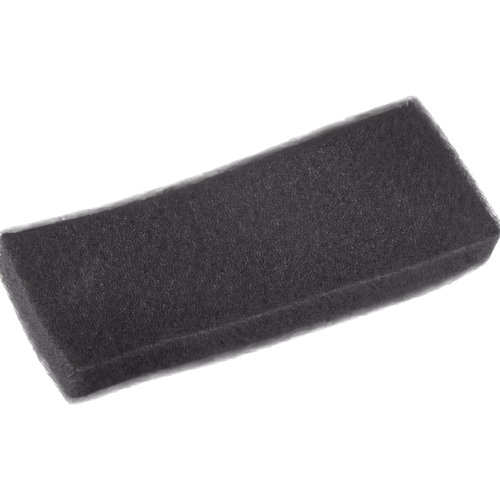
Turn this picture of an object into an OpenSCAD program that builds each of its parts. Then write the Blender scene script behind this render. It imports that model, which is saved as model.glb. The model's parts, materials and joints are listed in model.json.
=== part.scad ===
// Flat foam filter element for a small engine's airbox.
// One slab, cut from a sheet of open-cell foam. It lies flat on its base, with
// its length along X, its width along Y and the sheet's thickness along Z.

/* [Slab] */
// Length of the slab over its two ends
slab_length = 150; // [100:1:220]
// Width of the slab at its right-hand end, over both long sides
slab_width = 66; // [44:1:110]
// Thickness of the foam sheet
slab_thickness = 14.5; // [8:0.5:30]

/* [Long sides] */
// How far the back side draws in at its waist
waist_depth = 5.5; // [0:0.1:10]
// How far to the left of the slab's middle the waist lies
waist_offset = 24; // [0:1:35]
// How far the front side swells out at its middle
front_swell = 1.6; // [0:0.1:4]

/* [Ends and corners] */
// How far the cut ends swell out at their middles
end_swell = 1.2; // [0:0.1:3]
// Radius of the back left, back right and front left corners, seen from above
corner_radius = 3; // [1:0.25:8]
// Radius of the front right corner, which is cut rounder than the others
round_corner_radius = 6; // [1:0.25:14]

/* [Finish] */
// Colour of the foam
foam_colour = "#3f3c42";

/* [Hidden] */

// Lengths of outline between points: along the long sides, along the ends and, in degrees, round the corners
side_step = 4;
end_step = 5;
corner_step = 15;

half_length = slab_length / 2;
half_width = slab_width / 2;
// From the waist to the right-hand end, where the back side has its full width
waist_reach = half_length + waist_offset;

// The back side, a gentle wave with its lowest point at the waist
function back_side(x) = half_width - waist_depth * (1 + cos(180 * (x + waist_offset) / waist_reach)) / 2;

// The front side, furthest out at the middle of the slab
function front_side(x) = front_swell * pow(x / half_length, 2) - half_width;

// Centre of a corner's round: side is 1 at the right and -1 at the left, edge is 1 at the back and -1 in front
function corner_x(side, r) = side * (half_length - end_swell - r);
function corner_y(side, edge, r) =
    let (x = corner_x(side, r))
    edge > 0 ? back_side(x) - r : front_side(x) + r;

// Points round one corner, from the angle start, counter-clockwise
function corner(side, edge, r, start) =
    [for (a = [start : corner_step : start + 90])
        [corner_x(side, r) + r * cos(a), corner_y(side, edge, r) + r * sin(a)]];

// Points strictly between two corners along a long side, and how many steps that is
function steps(from, to, step) = ceil(abs(to - from) / step);
function front_points(from, to) =
    let (n = steps(from, to, side_step))
    [for (i = [1 : n - 1]) let (x = from + (to - from) * i / n) [x, front_side(x)]];
function back_points(from, to) =
    let (n = steps(from, to, side_step))
    [for (i = [1 : n - 1]) let (x = from + (to - from) * i / n) [x, back_side(x)]];

// Points strictly between two corners up or down an end, which swells most half way
function end_points(side, from, to) =
    let (n = steps(from, to, end_step))
    [for (i = [1 : n - 1])
        [side * (half_length - end_swell + end_swell * sin(180 * i / n)), from + (to - from) * i / n]];

function slab_outline() = concat(
    corner(-1, -1, corner_radius, 180),
    front_points(corner_x(-1, corner_radius), corner_x(1, round_corner_radius)),
    corner(1, -1, round_corner_radius, 270),
    end_points(1, corner_y(1, -1, round_corner_radius), corner_y(1, 1, corner_radius)),
    corner(1, 1, corner_radius, 0),
    back_points(corner_x(1, corner_radius), corner_x(-1, corner_radius)),
    corner(-1, 1, corner_radius, 90),
    end_points(-1, corner_y(-1, 1, corner_radius), corner_y(-1, -1, corner_radius))
);

// The slab itself: solid here, with flat faces for the airbox's floor and cover to press on
module foam_element() {
    color(foam_colour)
        linear_extrude(height = slab_thickness)
            polygon(slab_outline());
}

foam_element();
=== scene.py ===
import json
import math

import bpy
import numpy as np
from mathutils import Euler, Matrix, Vector

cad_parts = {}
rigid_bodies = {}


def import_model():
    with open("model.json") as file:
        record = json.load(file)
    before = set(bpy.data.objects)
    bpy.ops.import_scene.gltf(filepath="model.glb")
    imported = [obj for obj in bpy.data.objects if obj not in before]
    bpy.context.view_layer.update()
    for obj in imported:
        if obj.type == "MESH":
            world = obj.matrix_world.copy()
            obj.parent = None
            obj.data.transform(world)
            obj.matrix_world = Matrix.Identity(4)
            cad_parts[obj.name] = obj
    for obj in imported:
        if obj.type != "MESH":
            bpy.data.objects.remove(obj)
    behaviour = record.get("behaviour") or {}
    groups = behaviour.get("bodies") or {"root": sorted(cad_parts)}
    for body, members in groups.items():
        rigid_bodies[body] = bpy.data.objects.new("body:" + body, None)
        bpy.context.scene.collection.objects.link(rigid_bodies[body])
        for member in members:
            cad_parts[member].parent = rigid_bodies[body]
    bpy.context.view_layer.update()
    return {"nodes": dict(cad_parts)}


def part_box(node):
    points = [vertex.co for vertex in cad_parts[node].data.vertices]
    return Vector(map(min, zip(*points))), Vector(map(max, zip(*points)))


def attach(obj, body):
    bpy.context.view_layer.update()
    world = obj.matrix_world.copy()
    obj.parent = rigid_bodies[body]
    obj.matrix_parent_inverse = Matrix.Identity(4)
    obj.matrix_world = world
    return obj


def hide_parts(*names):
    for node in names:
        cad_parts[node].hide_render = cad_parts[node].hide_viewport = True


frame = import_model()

# ---- Studio
# A light table of white acrylic, so bright that the slab throws no shadow on it, in a white room.
# A soft box hangs over it, with a small lamp close to the slab and a strip light at each side. The
# camera looks down on the slab from its front left.

CAMERA_AZIMUTH = math.radians(22.9)
CAMERA_HEIGHT = math.radians(48.9)
CAMERA_DISTANCE = 0.950
CAMERA_LENS = 218.4
AIM = Vector((0.0030, 0.0040, 0.0))
ROOM_LIGHT = 0.1
TABLE_SIZE = 6
TABLE_HEIGHT = -0.0004
TABLE_GLOW = 0.97
TABLE_TINT = (1, 0.965, 1, 1)

look = Vector((math.sin(CAMERA_AZIMUTH) * math.cos(CAMERA_HEIGHT),
               math.cos(CAMERA_AZIMUTH) * math.cos(CAMERA_HEIGHT),
               -math.sin(CAMERA_HEIGHT)))
camera = bpy.data.objects.new("camera", bpy.data.cameras.new("camera"))
camera.data.lens = CAMERA_LENS
camera.data.sensor_width = 36
camera.data.clip_start = 0.01
camera.data.clip_end = 20
camera.location = AIM - look * CAMERA_DISTANCE
camera.rotation_euler = look.to_track_quat("-Z", "Y").to_euler()
bpy.context.scene.collection.objects.link(camera)
bpy.context.scene.camera = camera
bpy.context.scene.view_settings.view_transform = "Standard"


def soft_light(name, place, width, depth, power, aim=(0, 0, 0.01)):
    """A rectangular soft box at a place, turned to face the aim."""
    lamp = bpy.data.lights.new(name, "AREA")
    lamp.shape = "RECTANGLE"
    lamp.size = width
    lamp.size_y = depth
    lamp.energy = power
    box = bpy.data.objects.new(name, lamp)
    box.location = place
    box.rotation_euler = (Vector(aim) - Vector(place)).to_track_quat("-Z", "Y").to_euler()
    bpy.context.scene.collection.objects.link(box)


soft_light("overhead_box", (0.03, 0.05, 0.60), 0.40, 0.40, 0.95)
soft_light("near_lamp", (0.01, 0.01, 0.14), 0.04, 0.04, 0.098, aim=(0.012, 0.002, 0.01))
soft_light("left_strip", (-0.50, 0.05, 0.08), 0.50, 0.14, 7.5, aim=(-0.07, 0, 0.007))
soft_light("right_strip", (0.17, -0.14, 0.04), 0.10, 0.06, 0.42, aim=(0.065, -0.03, 0.007))

sky = bpy.data.worlds.new("pale_room")
sky.use_nodes = True
sky.node_tree.nodes["Background"].inputs["Color"].default_value = (1, 1, 1, 1)
# The walls are seen white, as the table is, and give the slab only a little light.
ray = sky.node_tree.nodes.new("ShaderNodeLightPath")
walls = sky.node_tree.nodes.new("ShaderNodeMapRange")
walls.inputs["To Min"].default_value = ROOM_LIGHT
walls.inputs["To Max"].default_value = 1.0
sky.node_tree.links.new(ray.outputs["Is Camera Ray"], walls.inputs["Value"])
sky.node_tree.links.new(walls.outputs[0], sky.node_tree.nodes["Background"].inputs["Strength"])
bpy.context.scene.world = sky

bpy.ops.mesh.primitive_plane_add(size=TABLE_SIZE, location=(0, 0, TABLE_HEIGHT))
table = bpy.context.object
table.name = "light_table"
glow = bpy.data.materials.new("lit_white_acrylic")
glow.use_nodes = True
acrylic = glow.node_tree.nodes["Principled BSDF"]
acrylic.inputs["Base Color"].default_value = (0.9, 0.9, 0.9, 1)
acrylic.inputs["Roughness"].default_value = 0.8
acrylic.inputs["Emission Color"].default_value = TABLE_TINT
acrylic.inputs["Emission Strength"].default_value = TABLE_GLOW
table.data.materials.append(glow)

# ---- Foam body
# The slab of reticulated polyurethane foam. It is cut from a sheet, so every face shows opened
# cells: round pits with thin ridges of polymer between them. Nothing holds it but the airbox.

PORE = 0.00098
# Depth of a pit and half the width of a ridge, as shares of a pore
PIT_DEPTH = 0.55
RIDGE = 0.16
# Rounds of smoothing that wear the rims by about 2 mm
RIM_SMOOTHING = 140

low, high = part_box("foam_element")
length, width, thickness = (high[k] - low[k] for k in range(3))


def deselect():
    """Clears the selection, so that an operator acts only on what is picked next."""
    if bpy.context.object and bpy.context.object.mode != "OBJECT":
        bpy.ops.object.mode_set(mode="OBJECT")
    bpy.ops.object.select_all(action="DESELECT")


def pick(piece):
    """Makes one piece the selected and active one."""
    deselect()
    piece.select_set(True)
    bpy.context.view_layer.objects.active = piece


def copy_of(piece, name):
    """A copy of a piece with its own mesh and no parent."""
    twin = piece.copy()
    twin.data = piece.data.copy()
    twin.name = name
    twin.parent = None
    bpy.context.scene.collection.objects.link(twin)
    return twin


def points_of(piece):
    """The vertices of a piece as rows of x, y, z."""
    co = np.empty(len(piece.data.vertices) * 3, np.float32)
    piece.data.vertices.foreach_get("co", co)
    return co.reshape(-1, 3).astype(float)


def move_points(piece, co):
    """Puts the vertices of a piece at new places."""
    piece.data.vertices.foreach_set("co", co.astype(np.float32).ravel())
    piece.data.update()


# The form of the relaxed slab: the airbox outline, remeshed and let go.
form = copy_of(frame["nodes"]["foam_element"], "form")
form.data.materials.clear()
pick(form)
bpy.ops.object.mode_set(mode="EDIT")
bpy.ops.mesh.select_all(action="SELECT")
bpy.ops.mesh.remove_doubles(threshold=1e-6)
bpy.ops.object.mode_set(mode="OBJECT")
form.data.remesh_voxel_size = PORE * 0.93
bpy.ops.object.voxel_remesh()

# How far the ends and sides lean from foot to top, how the slab swells and slants, and where the foot
# of the front side is drawn in and raised
END_LEAN = 0.0026
FRONT_WAVES = ((-0.042, 0.013, 0.0012), (0.045, 0.018, -0.0009))
FOOT_RISE = (-0.050, 0.020, 0.0012)
END_SLANT = 0.0012
END_PULL = 0.0009
SIDE_LEAN = 0.0020
BACK_SWELL = 0.0009
# The back left corner stands out a little, and the front right tip is lifted at its foot
BACK_CORNER = (-0.075, 0.031)
CORNER_OUT = (0.0006, 0.0001)
TIP = (0.075, -0.031)
TIP_REACH = 0.010
TIP_LIFT = 0.0030
TIP_TUCK = 0.0008
TIP_POINT = 0.0014
# A faint fold across the top near the left end
CREASE_MIDDLE = (-0.053, 0.0008)
CREASE_TURN = math.radians(45)
CREASE_HALF = 0.012
CREASE_WIDTH = 0.0022
CREASE_DEPTH = 0.0004
# Where the rims are less worn: x, y, how far that reaches, and the share of the wear that is missing
FIRM_RIMS = ((-0.066, 0.028, 0.020, 0.20),
             (-0.066, -0.033, 0.020, 0.20),
             (0.075, -0.031, 0.013, 0.30),
             (-0.075, -0.033, 0.006, 0.30))
# The same share along the upper rims in front and at the left end, and the most that it can come to
FIRM_TOP = 0.45
FIRMEST = 0.75


def ease(t):
    """Rises smoothly from 0 to 1 while t goes from 0 to 1."""
    t = np.clip(t, 0, 1)
    return t * t * (3 - 2 * t)


def near_spot(co, spot, spread):
    """Falls from 1 at a spot of the slab, seen from above, to 0 away from it."""
    return np.exp(-((co[:, 0] - spot[0]) ** 2 + (co[:, 1] - spot[1]) ** 2) / (2 * spread ** 2))


def along_crease(x, y):
    """How strongly a place on the top is folded by the crease: 1 in its middle, 0 away from it."""
    dx = x - CREASE_MIDDLE[0]
    dy = y - CREASE_MIDDLE[1]
    along = dx * math.cos(CREASE_TURN) + dy * math.sin(CREASE_TURN)
    across = dy * math.cos(CREASE_TURN) - dx * math.sin(CREASE_TURN)
    return np.exp(-(across / CREASE_WIDTH) ** 2) * ease(2 - 2 * abs(along) / CREASE_HALF)


co = points_of(form)
x, y, z = co.T
up = (z - low[2]) / thickness
front = ease(-y / (width / 2))
moved = co.copy()
moved[:, 0] += END_LEAN * (up - 0.5) - END_LEAN * x / length
for middle, reach, push in FRONT_WAVES:
    moved[:, 1] += push * front * (0.3 + 0.7 * up) * np.exp(-((x - middle) / reach) ** 2)
bow = front * (1 - up) * np.exp(-((x - FOOT_RISE[0]) / FOOT_RISE[1]) ** 2)
moved[:, 1] += FOOT_RISE[2] * bow * 0.5
moved[:, 2] += FOOT_RISE[2] * bow * 0.5
left_end = ease((-x - 0.050) / 0.025)
moved[:, 0] += (END_SLANT * front ** 2 + END_PULL) * left_end
moved[:, 1] -= SIDE_LEAN * (1 - up)
moved[:, 1] += BACK_SWELL * ease(y / (width / 2))
near_corner = near_spot(co, BACK_CORNER, TIP_REACH)
moved[:, 0] -= CORNER_OUT[0] * near_corner
moved[:, 1] += CORNER_OUT[1] * near_corner
near_tip = near_spot(co, TIP, TIP_REACH)
moved[:, 2] += TIP_LIFT * near_tip * (1 - up)
moved[:, 0] -= TIP_TUCK * near_tip * (1 - up)
moved[:, 1] += TIP_TUCK * near_tip * (1 - up)
moved[:, 0] += TIP_POINT * near_tip * up
moved[:, 1] -= TIP_POINT * near_tip * up * 0.5
moved[:, 2] -= CREASE_DEPTH * up * along_crease(x, y)
move_points(form, moved)

# The body proper: the form with its rims worn round, where the cut cells are open to the light.
body = copy_of(form, "foam_body")
pick(body)
bpy.ops.object.mode_set(mode="EDIT")
bpy.ops.mesh.select_all(action="SELECT")
bpy.ops.mesh.vertices_smooth(factor=0.5, repeat=RIM_SMOOTHING)
bpy.ops.object.mode_set(mode="OBJECT")
rounded = points_of(body)
firm = np.zeros(len(rounded))
for spot_x, spot_y, spread, share in FIRM_RIMS:
    firm += share * near_spot(moved, (spot_x, spot_y), spread)
upper = ease((z - thickness * 0.55) / (thickness * 0.25))
front_rim = ease((-y - width / 2 + 0.007) / 0.004)
left_rim = ease((-x - length / 2 + 0.006) / 0.004)
firm += FIRM_TOP * upper * np.maximum(front_rim, left_rim)
firm = np.minimum(firm, FIRMEST)
move_points(body, rounded + (moved - rounded) * firm[:, None])
bpy.ops.object.mode_set(mode="EDIT")
bpy.ops.mesh.select_all(action="SELECT")
bpy.ops.mesh.quads_convert_to_tris(quad_method="BEAUTY")
bpy.ops.mesh.select_all(action="DESELECT")
bpy.ops.mesh.select_random(ratio=0.08, seed=5)
bpy.ops.mesh.poke()
bpy.ops.mesh.select_all(action="SELECT")
bpy.ops.transform.vertex_random(offset=PORE * 0.6, uniform=0, normal=0, seed=3)
bpy.ops.mesh.select_all(action="SELECT")
bpy.ops.mesh.beautify_fill(angle_limit=math.radians(60))
bpy.ops.mesh.vertices_smooth(factor=0.5, repeat=2)
bpy.ops.mesh.beautify_fill(angle_limit=math.radians(60))
bpy.ops.object.mode_set(mode="OBJECT")
core = copy_of(body, "core")


def node(tree, kind, inputs=None, **settings):
    """Adds a node, with values or other nodes' outputs for its inputs."""
    made = tree.nodes.new(kind)
    for key, value in settings.items():
        setattr(made, key, value)
    for socket, value in (inputs or {}).items():
        if isinstance(value, bpy.types.NodeSocket):
            tree.links.new(value, made.inputs[socket])
        else:
            made.inputs[socket].default_value = value
    return made


def shaping_tree(name):
    """An empty geometry tree with geometry in and out, and its two end nodes."""
    tree = bpy.data.node_groups.new(name, "GeometryNodeTree")
    tree.interface.new_socket("Geometry", in_out="INPUT", socket_type="NodeSocketGeometry")
    tree.interface.new_socket("Geometry", in_out="OUTPUT", socket_type="NodeSocketGeometry")
    return tree, tree.nodes.new("NodeGroupInput"), tree.nodes.new("NodeGroupOutput")


def apply_tree(piece, tree):
    """Runs a geometry tree on a piece and keeps the result as its mesh."""
    pick(piece)
    step = piece.modifiers.new(tree.name, "NODES")
    step.node_group = tree
    bpy.ops.object.modifier_apply(modifier=step.name)


# Each triangle corner grows into one cell of the foam: the dual of the mesh is the net of ridges.
cells, start, end = shaping_tree("open_cells")
cells.links.new(node(cells, "GeometryNodeDualMesh", {0: start.outputs[0]}).outputs[0], end.inputs[0])
apply_tree(body, cells)

# How far each place on it lies behind the faces of the slab, which is most along the rims.
behind, start, end = shaping_tree("depth_behind_faces")
faces_in = node(behind, "GeometryNodeObjectInfo", {"Object": form}).outputs["Geometry"]
gap = node(behind, "GeometryNodeProximity", {0: faces_in}, target_element="FACES")
kept = node(behind, "GeometryNodeStoreNamedAttribute",
            {"Geometry": start.outputs[0], "Name": "gap", "Value": gap.outputs["Distance"]},
            data_type="FLOAT")
behind.links.new(kept.outputs[0], end.inputs[0])
apply_tree(body, behind)

# Every cell is opened to a pit, and what the last operator leaves selected is the pits' floors.
bpy.ops.object.mode_set(mode="EDIT")
bpy.ops.mesh.select_mode(type="VERT")
bpy.ops.mesh.select_all(action="SELECT")
bpy.ops.transform.vertex_random(offset=PORE * 0.12, uniform=0, normal=1, seed=7)
bpy.ops.mesh.select_mode(type="FACE")
bpy.ops.mesh.select_all(action="SELECT")
bpy.ops.mesh.inset(use_individual=True, thickness=PORE * RIDGE, depth=-PORE * PIT_DEPTH)
bpy.ops.transform.vertex_random(offset=PORE * 0.20, uniform=0, normal=0.3, seed=9)
bpy.ops.object.mode_set(mode="OBJECT")
in_pit = np.empty(len(body.data.vertices), bool)
body.data.vertices.foreach_get("select", in_pit)
# Ridges are marked for painted light and pit floors for painted shade.
crest = body.data.attributes.new("crest", "FLOAT", "POINT")
crest.data.foreach_set("value", 1.0 - in_pit.astype(np.float32))
x, y, z = points_of(body).T
fold = body.data.attributes.new("fold", "FLOAT", "POINT")
fold.data.foreach_set("value", (along_crease(x, y) * (z > thickness / 2)).astype(np.float32))


# The sheet that the six sides are spread out on: its size, the rows of the top, bottom, front, back
# and ends, and how far the right end lies from the left one
SHEET_SIZE = 0.210
SHEET_ROWS = (0.0, 0.075, 0.150, 0.170, 0.190)
SHEET_STEP = 0.080
SHEET_MARGIN = (0.003, 0.004, 0.002)


def lay_flat(piece):
    """A texture map of the six sides of the slab, spread out on one sheet."""
    corners = np.empty(len(piece.data.loops), np.int32)
    piece.data.loops.foreach_get("vertex_index", corners)
    sizes = np.empty(len(piece.data.polygons), np.int32)
    piece.data.polygons.foreach_get("loop_total", sizes)
    centres = np.empty(len(sizes) * 3, np.float32)
    piece.data.polygons.foreach_get("center", centres)
    cx, cy, cz = centres.reshape(-1, 3).T
    depths = np.array([thickness - cz, cz, cy + width / 2, width / 2 - cy, cx + length / 2, length / 2 - cx])
    facing = np.repeat(depths.argmin(axis=0), sizes)
    px, py, pz = points_of(piece)[corners].T
    px = px + length / 2 + SHEET_MARGIN[0]
    py = py + width / 2 + SHEET_MARGIN[1]
    pz = pz + SHEET_MARGIN[2]
    top, bottom, front_row, back_row, ends = SHEET_ROWS
    across = np.choose(facing, [px, px, px, px, py, py + SHEET_STEP])
    upward = np.choose(facing, [py + top, py + bottom, pz + front_row, pz + back_row, pz + ends, pz + ends])
    sheet = piece.data.uv_layers.new(name="OFBake")
    sheet.data.foreach_set("uv", (np.stack([across, upward], 1) / SHEET_SIZE).astype(np.float32).ravel())


lay_flat(body)

# The finish: charcoal polyurethane with a faint plum tint, matt in the pits and a little shiny on the
# ridges. The pits are darkened with painted shade, and the rims made paler with painted light.
# Painted shade in the pit floors, and the lit colour of the ridges
SHADED_PIT_COLOUR = (0.047, 0.043, 0.049, 1)
LIT_RIDGE_COLOUR = (0.085, 0.078, 0.090, 1)
# How unevenly the grain and the larger mottles take the dye
GRAIN = 0.38
MOTTLE = 0.07
# Painted light that makes the rims brightest, and a paler line along the fold
RIM_PAINTED_LIGHT = 1.9
FOLD_GLOW = 1.4
# Patches of painted light and painted shade: their middles, how far they reach, and how bright they are
LIGHT_AND_SHADE_PATCHES = (((0.014, 0.003, 0.0145), 0.030, 1.14),
           ((0.057, 0.013, 0.0145), 0.028, 0.70),
           ((0.068, -0.025, 0.0145), 0.015, 1.16),
           ((-0.052, -0.033, 0.005), 0.033, 0.66))

look_of_foam = bpy.data.node_groups.new("foam_look", "ShaderNodeTree")
look_of_foam.interface.new_socket("Color", in_out="OUTPUT", socket_type="NodeSocketColor")
look_of_foam.interface.new_socket("Roughness", in_out="OUTPUT", socket_type="NodeSocketFloat")
end = look_of_foam.nodes.new("NodeGroupOutput")
place = node(look_of_foam, "ShaderNodeTexCoord").outputs["Object"]
crest = node(look_of_foam, "ShaderNodeAttribute", attribute_name="crest").outputs["Fac"]
# Painted shade in the pits, lit colour on the ridges.
colour = node(look_of_foam, "ShaderNodeMix", {0: crest, 6: SHADED_PIT_COLOUR, 7: LIT_RIDGE_COLOUR},
              data_type="RGBA", clamp_factor=False)
grain = node(look_of_foam, "ShaderNodeTexNoise",
             {"Vector": place, "Scale": 1 / (PORE * 1.3), "Detail": 3.0, "Roughness": 0.85})
grain = node(look_of_foam, "ShaderNodeMapRange",
             {"Value": grain.outputs["Fac"], "From Min": 0.3, "From Max": 0.7,
              "To Min": 1 - GRAIN, "To Max": 1 + GRAIN})
mottle = node(look_of_foam, "ShaderNodeTexNoise", {"Vector": place, "Scale": 45.0, "Detail": 3.0})
mottle = node(look_of_foam, "ShaderNodeMapRange",
              {"Value": mottle.outputs["Fac"], "From Min": 0.3, "From Max": 0.7,
               "To Min": 1 - MOTTLE, "To Max": 1 + MOTTLE})
gap = node(look_of_foam, "ShaderNodeAttribute", attribute_name="gap").outputs["Fac"]
# Painted light on the worn rims, where the body lies deepest behind the faces of the slab.
rim_painted_light = node(look_of_foam, "ShaderNodeMapRange",
                {"Value": gap, "From Min": 0.0002, "From Max": 0.0018, "To Min": 1.0, "To Max": RIM_PAINTED_LIGHT})
fold = node(look_of_foam, "ShaderNodeAttribute", attribute_name="fold").outputs["Fac"]
fold_glow = node(look_of_foam, "ShaderNodeMapRange", {"Value": fold, "To Min": 1.0, "To Max": FOLD_GLOW})
shades = [mottle, rim_painted_light, fold_glow]
# Patches of painted light and painted shade.
for middle, reach, bright in LIGHT_AND_SHADE_PATCHES:
    away = node(look_of_foam, "ShaderNodeVectorMath", {0: place, 1: middle}, operation="DISTANCE")
    shades.append(node(look_of_foam, "ShaderNodeMapRange",
                       {"Value": away.outputs["Value"], "From Min": 0.0, "From Max": reach,
                        "To Min": bright, "To Max": 1.0}, interpolation_type="SMOOTHSTEP"))
shade = grain
for part in shades:
    shade = node(look_of_foam, "ShaderNodeMath", {0: shade.outputs[0], 1: part.outputs[0]},
                 operation="MULTIPLY")
dyed = node(look_of_foam, "ShaderNodeVectorMath", {0: colour.outputs[2], "Scale": shade.outputs[0]},
            operation="SCALE")
look_of_foam.links.new(dyed.outputs[0], end.inputs["Color"])
gloss = node(look_of_foam, "ShaderNodeMapRange", {"Value": crest, "To Min": 0.9, "To Max": 0.42})
look_of_foam.links.new(gloss.outputs[0], end.inputs["Roughness"])

foam = bpy.data.materials.new("charcoal_foam")
foam.use_nodes = True
skin = foam.node_tree.nodes["Principled BSDF"]
dye = foam.node_tree.nodes.new("ShaderNodeGroup")
dye.node_tree = look_of_foam
foam.node_tree.links.new(dye.outputs["Color"], skin.inputs["Base Color"])
foam.node_tree.links.new(dye.outputs["Roughness"], skin.inputs["Roughness"])
body.data.materials.append(foam)

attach(body, "root")
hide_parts("foam_element")

# ---- Rim net
# The outermost cells along the slab's rims, of the same foam and grown in one with it. There the
# light passes through, so the struts themselves are made: a net of bent cells, cut off at the
# faces of the slab.

CELL = 0.00108
# Radius of a strut, and how unevenly thick the struts are
STRUT = CELL * 0.0465
STRUT_RANGE = (0.4, 1.6)
# How far the net is bent as a whole, and each joint of it on its own
WARP = CELL * 1.1
WARP_SIZE = CELL * 5
JITTER = CELL * 0.21
NET_TURN = Euler((0.50, 0.35, 0.60))
# Struts are stouter at the first three of the firm rims, by this many times the firmness
STOUT_RIMS = FIRM_RIMS[:3]
STOUTER = 3.0
# A painted highlight along the upper rim in front: how far back and how sharp an edge counts, how
# far from the edge the line reaches, and how bright it is
LINE_BACK = -0.022
LINE_ANGLE = math.radians(33)
LINE_REACH = (0.0002, 0.0008)
RIM_LINE_HIGHLIGHT = 3.0
# Painted light on the outermost struts: how much, and how deep it goes
OUTER_STRUT_LIGHT = 1.1
FACE_DEPTH = 0.0010

# One cell: a cube's dual with its corners cut back by a third, which leaves squares and hexagons.
deselect()
bpy.ops.mesh.primitive_cube_add(size=CELL * 1.5, location=(0, 0, 0))
cell = bpy.context.object
cell.name = "one_cell"
apply_tree(cell, cells)
bpy.ops.object.mode_set(mode="EDIT")
bpy.ops.mesh.select_all(action="SELECT")
bpy.ops.mesh.bevel(offset_type="PERCENT", offset_pct=100 / 3, affect="VERTICES")
bpy.ops.object.mode_set(mode="OBJECT")

# One point for each cell, repeated along the three turned directions of the net.
deselect()
bpy.ops.mesh.primitive_plane_add(size=CELL)
net = bpy.context.object
net.name = "rim_net"
bpy.ops.object.mode_set(mode="EDIT")
bpy.ops.mesh.select_all(action="SELECT")
bpy.ops.mesh.merge(type="CENTER")
bpy.ops.object.mode_set(mode="OBJECT")
turn = np.array(NET_TURN.to_matrix())
reach = np.abs(turn.T) @ np.array([length, width, thickness])
counts = np.ceil(reach / CELL).astype(int) + 3
corner = np.array([0, 0, low[2] + thickness / 2]) - turn @ (counts - 1) * CELL / 2
net.data.transform(Matrix.Translation(Vector(corner)))
for axis in range(3):
    row = net.modifiers.new("row", "ARRAY")
    row.count = int(counts[axis])
    row.use_relative_offset = False
    row.use_constant_offset = True
    row.constant_offset_displace = turn[:, axis] * CELL
    bpy.ops.object.modifier_apply(modifier=row.name)

# The height of a place over a surface, which is less than nothing inside it, where a ray straight up
# meets the surface from its back.
side = bpy.data.node_groups.new("side_of_surface", "GeometryNodeTree")
side.interface.new_socket("Surface", in_out="INPUT", socket_type="NodeSocketGeometry")
side.interface.new_socket("Height", in_out="OUTPUT", socket_type="NodeSocketFloat")
start = side.nodes.new("NodeGroupInput")
end = side.nodes.new("NodeGroupOutput")
near = node(side, "GeometryNodeProximity", {0: start.outputs[0]}, target_element="FACES")
roof = node(side, "GeometryNodeRaycast", {0: start.outputs[0], "Ray Direction": (0, 0, 1)})
facing = node(side, "ShaderNodeSeparateXYZ", {0: roof.outputs["Hit Normal"]})
sign = node(side, "ShaderNodeMath", {0: facing.outputs["Z"], 1: 0.0}, operation="GREATER_THAN")
sign = node(side, "ShaderNodeMath", {0: sign.outputs[0], 1: -2.0, 2: 1.0}, operation="MULTIPLY_ADD")
height = node(side, "ShaderNodeMath", {0: sign.outputs[0], 1: near.outputs["Distance"]},
              operation="MULTIPLY")
side.links.new(height.outputs[0], end.inputs[0])

struts, start, end = shaping_tree("strut_net")
form_in = node(struts, "GeometryNodeObjectInfo", {"Object": form}).outputs["Geometry"]
core_in = node(struts, "GeometryNodeObjectInfo", {"Object": core}).outputs["Geometry"]
cell_in = node(struts, "GeometryNodeObjectInfo", {"Object": cell}).outputs["Geometry"]


def height_over(surface):
    """How far a point of the net lies outside a surface; less than nothing is inside."""
    group = struts.nodes.new("GeometryNodeGroup")
    group.node_tree = side
    struts.links.new(surface, group.inputs[0])
    return group.outputs[0]


def between(outside, above):
    """True for what is lower than that over the form and higher than that over the core."""
    under = node(struts, "FunctionNodeCompare", {0: height_over(form_in), 1: outside},
                 operation="LESS_THAN")
    over = node(struts, "FunctionNodeCompare", {0: height_over(core_in), 1: above},
                operation="GREATER_THAN")
    return node(struts, "FunctionNodeBooleanMath", {0: under.outputs[0], 1: over.outputs[0]}).outputs[0]


# Cells are placed in and near the worn rims, welded to one net, bent, and thinned to the struts
# that lie between the faces of the slab and the body.
placed = node(struts, "GeometryNodeInstanceOnPoints",
              {"Points": start.outputs[0], "Selection": between(CELL * 0.9, -CELL * 0.9),
               "Instance": cell_in, "Rotation": tuple(NET_TURN)})
real = node(struts, "GeometryNodeRealizeInstances", {0: placed.outputs[0]})
joined = node(struts, "GeometryNodeMergeByDistance", {"Geometry": real.outputs[0], "Distance": CELL * 0.02})
here = node(struts, "GeometryNodeInputPosition").outputs[0]
swirl = node(struts, "ShaderNodeTexNoise", {"Vector": here, "Scale": 1 / WARP_SIZE, "Detail": 1.0})
drift = node(struts, "ShaderNodeVectorMath", {0: swirl.outputs["Color"], 1: (0.5, 0.5, 0.5)},
             operation="SUBTRACT")
drift = node(struts, "ShaderNodeVectorMath", {0: drift.outputs[0], "Scale": WARP}, operation="SCALE")
shake = node(struts, "FunctionNodeRandomValue", {0: (-JITTER,) * 3, 1: (JITTER,) * 3, "Seed": 4},
             data_type="FLOAT_VECTOR")
offset = node(struts, "ShaderNodeVectorMath", {0: drift.outputs[0], 1: shake.outputs[0]}, operation="ADD")
loose = node(struts, "GeometryNodeSetPosition", {"Geometry": joined.outputs[0], "Offset": offset.outputs[0]})
lines = node(struts, "GeometryNodeMeshToCurve",
             {"Mesh": loose.outputs[0], "Selection": between(0.0, CELL * 0.10)})
thick = node(struts, "FunctionNodeRandomValue", {2: STRUT_RANGE[0], 3: STRUT_RANGE[1], "Seed": 6},
             data_type="FLOAT").outputs[1]
for spot_x, spot_y, spread, share in STOUT_RIMS:
    away = node(struts, "ShaderNodeVectorMath", {0: here, 1: (spot_x, spot_y, thickness / 2)},
                operation="DISTANCE")
    stout = node(struts, "ShaderNodeMapRange",
                 {"Value": away.outputs["Value"], "From Min": spread * 0.5, "From Max": spread * 2.5,
                  "To Min": 1 + STOUTER * share, "To Max": 1.0})
    thick = node(struts, "ShaderNodeMath", {0: thick, 1: stout.outputs[0]},
                 operation="MULTIPLY").outputs[0]
lines = node(struts, "GeometryNodeSetCurveRadius", {"Curve": lines.outputs[0], "Radius": thick})
profile = node(struts, "GeometryNodeCurvePrimitiveCircle", {"Resolution": 3, "Radius": STRUT})
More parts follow.
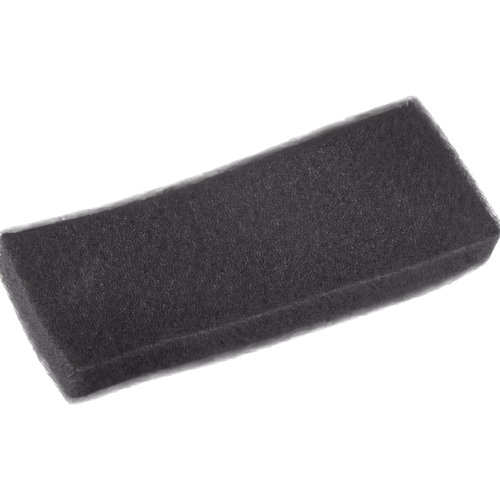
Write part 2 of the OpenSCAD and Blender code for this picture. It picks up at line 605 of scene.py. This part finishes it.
tubes = node(struts, "GeometryNodeCurveToMesh",
             {"Curve": lines.outputs[0], "Profile Curve": profile.outputs[0], "Fill Caps": True})
# Painted light on the outermost struts, fading to the painted shade of the pits deeper in.
depth = node(struts, "ShaderNodeMapRange",
             {"Value": height_over(form_in), "From Min": -FACE_DEPTH, "From Max": 0.0,
              "To Min": 0.0, "To Max": OUTER_STRUT_LIGHT})
bend = node(struts, "GeometryNodeInputMeshEdgeAngle")
sharp = node(struts, "FunctionNodeCompare", {0: bend.outputs[0], 1: LINE_ANGLE},
             operation="GREATER_THAN")
rim_place = node(struts, "ShaderNodeSeparateXYZ", {0: here})
in_front = node(struts, "FunctionNodeCompare", {0: rim_place.outputs["Y"], 1: LINE_BACK},
                operation="LESS_THAN")
on_top = node(struts, "FunctionNodeCompare", {0: rim_place.outputs["Z"], 1: thickness / 2},
              operation="GREATER_THAN")
chosen = node(struts, "FunctionNodeBooleanMath", {0: sharp.outputs[0], 1: in_front.outputs[0]})
chosen = node(struts, "FunctionNodeBooleanMath", {0: chosen.outputs[0], 1: on_top.outputs[0]})
rims = node(struts, "GeometryNodeMeshToCurve", {"Mesh": form_in, "Selection": chosen.outputs[0]})
rims = node(struts, "GeometryNodeCurveToMesh", {"Curve": rims.outputs[0]})
rim_gap = node(struts, "GeometryNodeProximity", {0: rims.outputs[0]}, target_element="EDGES")
# A painted highlight along the upper rim in front.
edge = node(struts, "ShaderNodeMapRange",
            {"Value": rim_gap.outputs["Distance"], "From Min": LINE_REACH[0], "From Max": LINE_REACH[1],
             "To Min": RIM_LINE_HIGHLIGHT, "To Max": 0.0})
lit = node(struts, "ShaderNodeMath", {0: depth.outputs[0], 1: edge.outputs[0]}, operation="ADD")
marked = node(struts, "GeometryNodeStoreNamedAttribute",
              {"Geometry": tubes.outputs[0], "Name": "crest", "Value": lit.outputs[0]}, data_type="FLOAT")
struts.links.new(marked.outputs[0], end.inputs[0])
apply_tree(net, struts)
bpy.data.objects.remove(cell)
bpy.data.objects.remove(core)
bpy.data.objects.remove(form)

lay_flat(net)
net.data.materials.append(foam)

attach(net, "root")
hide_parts("foam_element")
